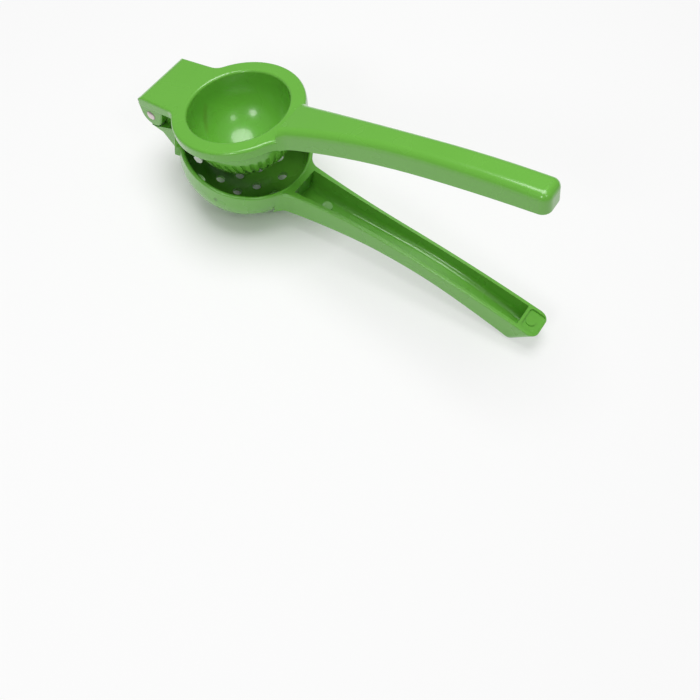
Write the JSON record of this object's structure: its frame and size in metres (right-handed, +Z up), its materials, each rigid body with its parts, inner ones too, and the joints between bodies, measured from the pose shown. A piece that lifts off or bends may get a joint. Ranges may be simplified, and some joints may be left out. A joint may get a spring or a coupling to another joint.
{
  "type": "hinged lemon squeezer",
  "caption": "Hand squeezer with a fluted press bowl that folds on a rear hinge into a perforated strainer bowl, each on a long handle.",
  "frame": {"origin": "middle of the footprint, on the table that the strainer bowl and the lower handle's end touch", "axes": "+Z up, +X from the hinge towards the handle ends, Y across, along the hinge pin"},
  "size_m": [0.2174, 0.0646, 0.0986],
  "materials": {
    "lever_paint": "glossy leaf-green baked paint on cast aluminium",
    "rivet_steel": "plain steel, lightly dulled"
  },
  "bodies": {
    "lower": {"lower_lever": "lever_paint"},
    "upper": {"upper_lever": "lever_paint", "hinge_pin": "rivet_steel"}
  },
  "joints": [
    {"name": "hinge", "type": "hinge", "parent": "lower", "child": "upper", "pos_m": [-0.10167, 0, 0.03815], "axis": [0, -1, 0], "range_deg": [-21, 84]}
  ]
}
